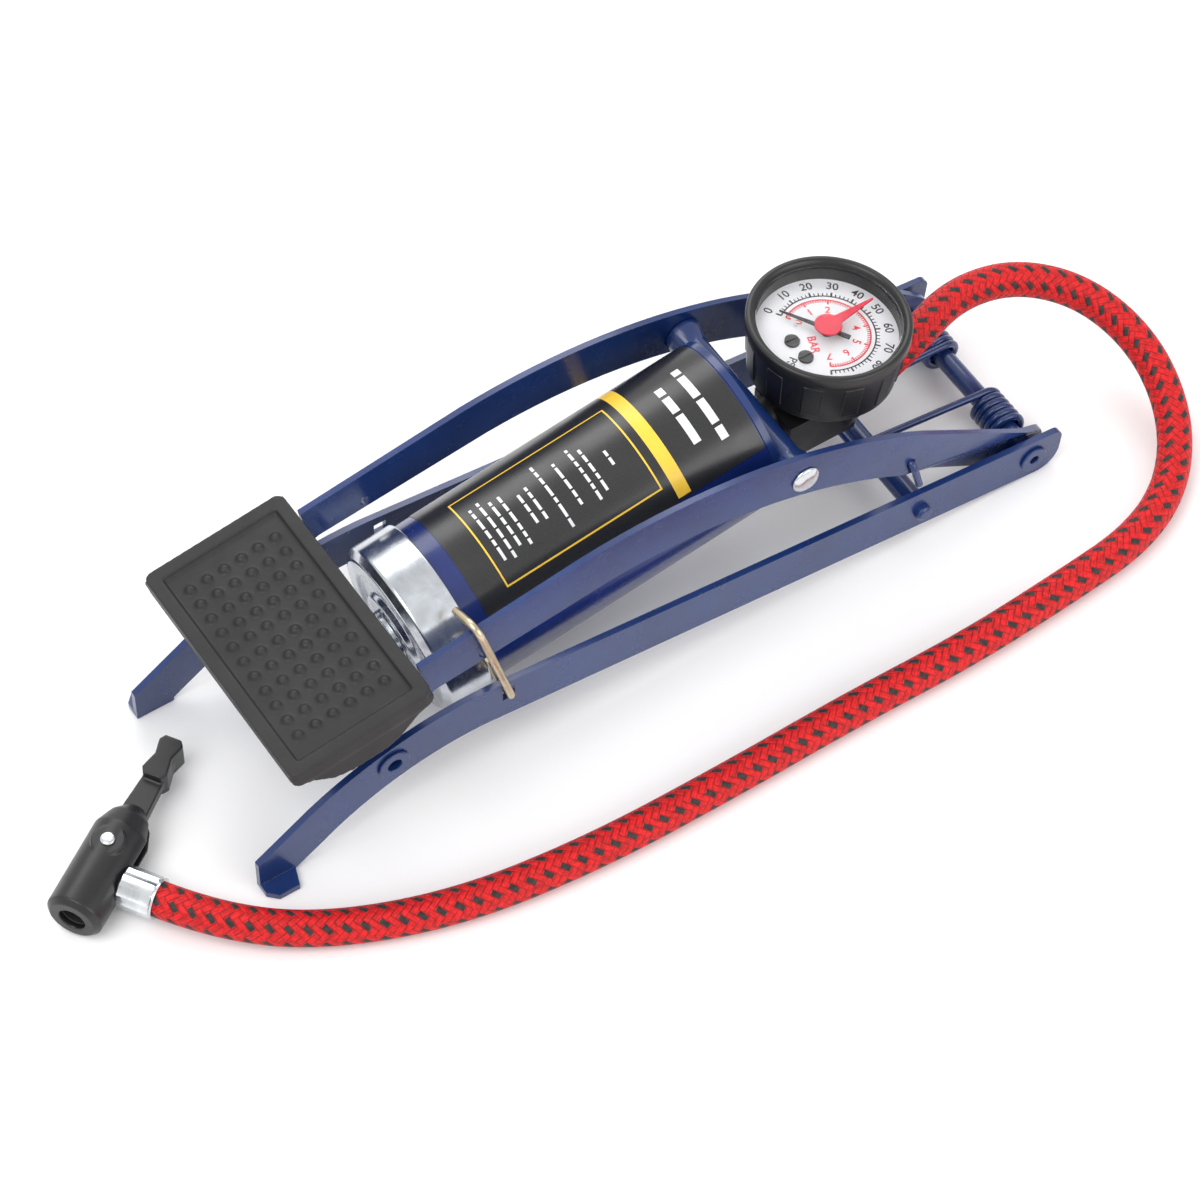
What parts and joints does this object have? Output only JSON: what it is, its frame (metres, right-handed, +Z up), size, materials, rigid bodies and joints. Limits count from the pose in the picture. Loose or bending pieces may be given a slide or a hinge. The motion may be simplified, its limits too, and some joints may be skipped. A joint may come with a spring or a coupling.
{
  "type": "foot air pump",
  "caption": "Foot-operated air pump with a folding sheet-steel frame, a barrel that slides on its piston rod, a dial gauge, a braided hose and a lever chuck.",
  "frame": {"origin": "middle of the footprint of the pump without its hose, on the floor", "axes": "+X from the foot pedal towards the rear pivot, +Y away from the side with the wire latch, +Z up"},
  "size_m": [0.3989, 0.1343, 0.0796],
  "materials": {
    "blue_paint": "semi-gloss paint",
    "blue_barrel": "semi-gloss paint",
    "label_film": "printed film",
    "zinc_cap": "bright zinc plate",
    "yellow_zinc": "yellow zinc plate",
    "zinc_rivet": "bright zinc plate",
    "rod_steel": "ground bar",
    "piston_alloy": "turned",
    "seal_rubber": "moulded",
    "pad_rubber": "moulded, satin",
    "black_plastic": "moulded, satin",
    "gauge_plastic": "moulded, satin",
    "lens": "clear moulded",
    "dial_white": "printed dial",
    "needle_black": "matt paint",
    "marker_red": "moulded",
    "brass": "turned",
    "ball_steel": "polished",
    "ferrule_zinc": "crimped zinc plate",
    "hose_braid": "woven braid with dark tracer threads"
  },
  "bodies": {
    "base_frame": {"base_rail_near": "blue_paint", "base_rail_far": "blue_paint", "front_pin": "blue_paint", "rear_shaft": "blue_paint", "front_spacers": "blue_paint", "lower_cross_rod": "blue_paint", "torsion_spring": "blue_paint", "chuck_body": "black_plastic", "chuck_seal": "seal_rubber", "chuck_pin": "zinc_rivet", "chuck_nipple": "black_plastic", "chuck_ferrule": "ferrule_zinc"},
    "pedal_frame": {"pedal_arm_near": "blue_paint", "pedal_arm_far": "blue_paint", "head_rivets": "zinc_rivet", "pedal_plate": "blue_paint", "pedal_pad": "pad_rubber"},
    "piston_rod": {"piston_rod": "rod_steel", "piston_disc": "piston_alloy", "cup_seal": "seal_rubber", "seal_washer": "rod_steel", "piston_nut": "rod_steel"},
    "cylinder": {"barrel": "blue_barrel", "barrel_label": "label_film", "front_cap": "zinc_cap", "rod_guide": "black_plastic", "cylinder_head": "blue_paint", "gauge_block": "black_plastic", "gauge_stem": "brass", "gauge_case": "gauge_plastic", "gauge_bezel": "gauge_plastic", "gauge_lens": "lens", "gauge_inner_ring": "gauge_plastic", "gauge_dial": "dial_white", "dial_screws": "zinc_rivet", "needle_stop": "dial_white", "gauge_movement": "rod_steel", "pressure_tube": "brass", "pump_ferrule": "ferrule_zinc"},
    "outlet_valve": {"outlet_ball": "ball_steel"},
    "needle": {"gauge_needle": "needle_black"},
    "marker": {"set_marker": "marker_red"},
    "hose_end": {"hose_tube": "hose_braid"},
    "chuck_lever": {"chuck_lever": "black_plastic"},
    "latch": {"wire_latch": "yellow_zinc"}
  },
  "joints": [
    {"name": "pedal_hinge", "type": "hinge", "parent": "base_frame", "child": "pedal_frame", "pos_m": [0.1365, 0, 0.00828], "axis": [0, 1, 0], "range_deg": [0, 45], "deforming": ["torsion_spring", "hose_tube", "wire_latch"]},
    {"name": "rod_hinge", "type": "hinge", "parent": "base_frame", "child": "piston_rod", "pos_m": [-0.0998, 0, 0.0284], "axis": [0, -1, 0], "range_deg": [0, 9.78]},
    {"name": "barrel_slide", "type": "slide", "parent": "piston_rod", "child": "cylinder", "axis": [0.9886, 0, 0.1506], "range_m": [0, 0.07058]},
    {"name": "hose_sway", "type": "hinge", "parent": "base_frame", "child": "hose_end", "pos_m": [-0.19682, -0.004, 0.43106], "axis": [0, -1, 0], "range_deg": [0, 9.78]},
    {"name": "valve_lift", "type": "slide", "parent": "cylinder", "child": "outlet_valve", "axis": [0.9886, 0, 0.1506], "range_m": [0, 0.0015]},
    {"name": "needle_turn", "type": "hinge", "parent": "cylinder", "child": "needle", "pos_m": [0.08074, 0, 0.06964], "axis": [-0.1011, 0, -0.9949], "range_deg": [0, 243]},
    {"name": "marker_turn", "type": "hinge", "parent": "cylinder", "child": "marker", "pos_m": [0.0812, 0, 0.07412], "axis": [0.1011, 0, 0.9949], "range_deg": [-127, 116]},
    {"name": "lever_swing", "type": "hinge", "parent": "base_frame", "child": "chuck_lever", "pos_m": [-0.18148, -0.00817, 0.009], "axis": [0, 0, 1], "range_deg": [0, 90]},
    {"name": "latch_swing", "type": "hinge", "parent": "base_frame", "child": "latch", "pos_m": [-0.0591, -0.0366, 0.033], "axis": [1, 0, 0], "range_deg": [0, 28]}
  ],
  "couplings": [
    {"joint": "rod_hinge", "follows": "pedal_hinge", "ratio": 0.21722},
    {"joint": "barrel_slide", "follows": "pedal_hinge", "m_per_rad": 0.089858},
    {"joint": "hose_sway", "follows": "pedal_hinge", "ratio": 0.21722}
  ]
}
